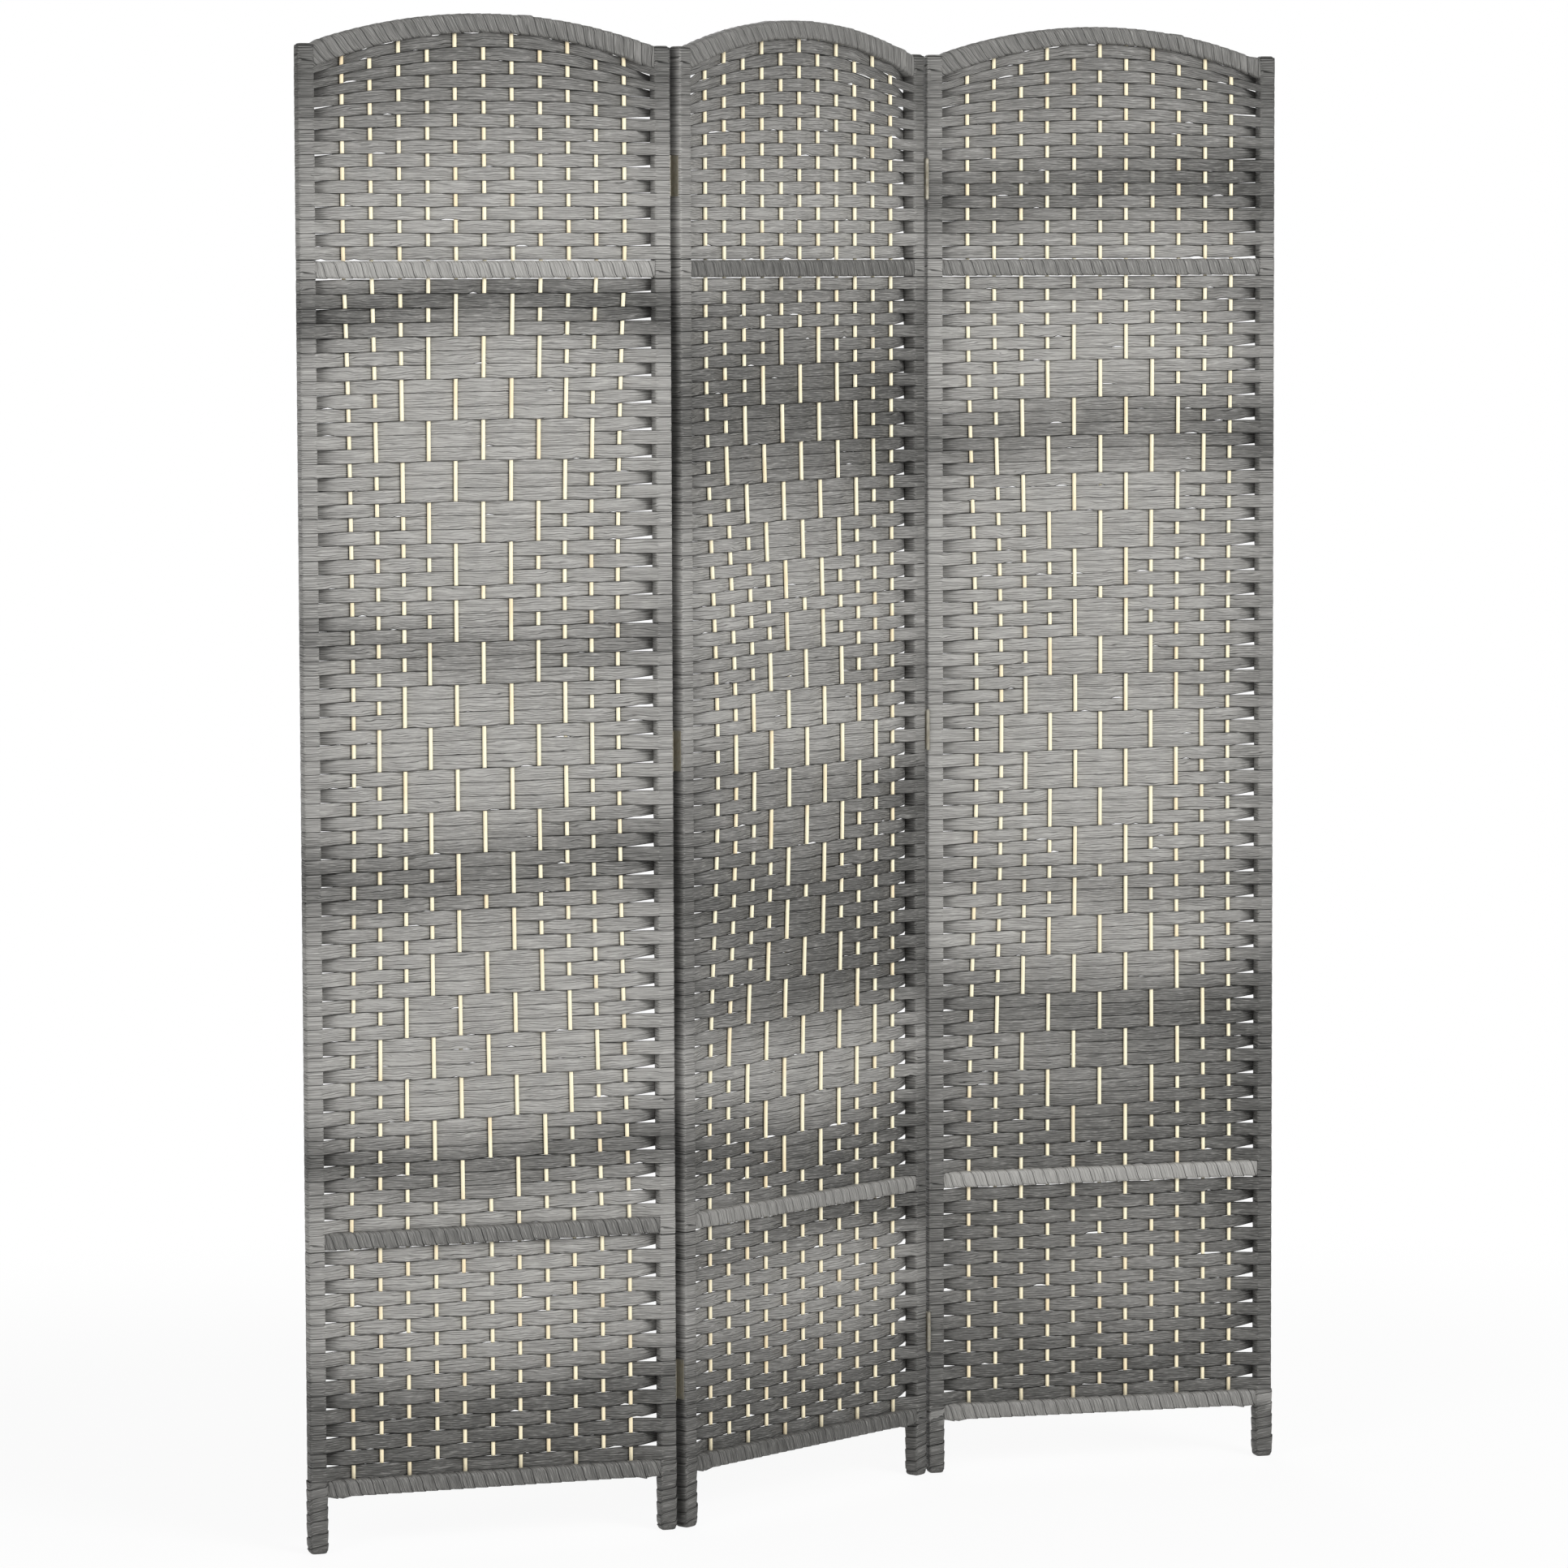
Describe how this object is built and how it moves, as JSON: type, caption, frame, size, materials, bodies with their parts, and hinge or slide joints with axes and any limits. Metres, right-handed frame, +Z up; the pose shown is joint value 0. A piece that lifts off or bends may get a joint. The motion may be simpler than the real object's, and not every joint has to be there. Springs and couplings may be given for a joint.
{
  "type": "folding room divider",
  "caption": "Free-standing zigzag screen of hinged arched panels, each a wooden frame wound and woven with flat paper ribbon over upright sticks.",
  "frame": {"origin": "on the floor, at the middle of the screen's plan bounding box as it stands in its zigzag", "axes": "+Z up; +X along the run of the screen, to the right seen from the front; +Y towards the back, so the front faces -Y"},
  "size_m": [1.3231, 0.1863, 1.8],
  "materials": {
    "pale_wood": "bare, smooth, pale straight-grained wood",
    "grey_paper_ribbon": "grey dyed flat paper ribbon with fine lengthwise fibres, in light and dark bands",
    "aged_brass": "brass-plated steel, dulled"
  },
  "bodies": {
    "middle_panel": {"middle_panel_left_stile": "pale_wood", "middle_panel_right_stile": "pale_wood", "middle_panel_top_rail": "pale_wood", "middle_panel_upper_rail": "pale_wood", "middle_panel_lower_rail": "pale_wood", "middle_panel_bottom_rail": "pale_wood", "middle_panel_top_rail_winding": "grey_paper_ribbon", "middle_panel_upper_rail_winding": "grey_paper_ribbon", "middle_panel_lower_rail_winding": "grey_paper_ribbon", "middle_panel_bottom_rail_winding": "grey_paper_ribbon", "middle_panel_left_foot_winding": "grey_paper_ribbon", "middle_panel_right_foot_winding": "grey_paper_ribbon", "middle_panel_weave": "grey_paper_ribbon", "left_seam_top_hinge_right_leaf": "aged_brass", "left_seam_top_hinge_pin": "aged_brass", "left_seam_middle_hinge_right_leaf": "aged_brass", "left_seam_middle_hinge_pin": "aged_brass", "left_seam_bottom_hinge_right_leaf": "aged_brass", "left_seam_bottom_hinge_pin": "aged_brass", "right_seam_top_hinge_left_leaf": "aged_brass", "right_seam_top_hinge_pin": "aged_brass", "right_seam_middle_hinge_left_leaf": "aged_brass", "right_seam_middle_hinge_pin": "aged_brass", "right_seam_bottom_hinge_left_leaf": "aged_brass", "right_seam_bottom_hinge_pin": "aged_brass"},
    "left_panel": {"left_panel_left_stile": "pale_wood", "left_panel_right_stile": "pale_wood", "left_panel_top_rail": "pale_wood", "left_panel_upper_rail": "pale_wood", "left_panel_lower_rail": "pale_wood", "left_panel_bottom_rail": "pale_wood", "left_panel_top_rail_winding": "grey_paper_ribbon", "left_panel_upper_rail_winding": "grey_paper_ribbon", "left_panel_lower_rail_winding": "grey_paper_ribbon", "left_panel_bottom_rail_winding": "grey_paper_ribbon", "left_panel_left_foot_winding": "grey_paper_ribbon", "left_panel_right_foot_winding": "grey_paper_ribbon", "left_panel_weave": "grey_paper_ribbon", "left_seam_top_hinge_left_leaf": "aged_brass", "left_seam_middle_hinge_left_leaf": "aged_brass", "left_seam_bottom_hinge_left_leaf": "aged_brass"},
    "right_panel": {"right_panel_left_stile": "pale_wood", "right_panel_right_stile": "pale_wood", "right_panel_top_rail": "pale_wood", "right_panel_upper_rail": "pale_wood", "right_panel_lower_rail": "pale_wood", "right_panel_bottom_rail": "pale_wood", "right_panel_top_rail_winding": "grey_paper_ribbon", "right_panel_upper_rail_winding": "grey_paper_ribbon", "right_panel_lower_rail_winding": "grey_paper_ribbon", "right_panel_bottom_rail_winding": "grey_paper_ribbon", "right_panel_left_foot_winding": "grey_paper_ribbon", "right_panel_right_foot_winding": "grey_paper_ribbon", "right_panel_weave": "grey_paper_ribbon", "right_seam_top_hinge_right_leaf": "aged_brass", "right_seam_middle_hinge_right_leaf": "aged_brass", "right_seam_bottom_hinge_right_leaf": "aged_brass"}
  },
  "joints": [
    {"name": "left_fold", "type": "hinge", "parent": "middle_panel", "child": "left_panel", "pos_m": [-0.21256, -0.07254, 0], "axis": [0, 0, 1], "range_deg": [-149.6, 30.4]},
    {"name": "right_fold", "type": "hinge", "parent": "middle_panel", "child": "right_panel", "pos_m": [0.21714, 0.07294, 0], "axis": [0, 0, 1], "range_deg": [-145.4, 34.6]}
  ]
}
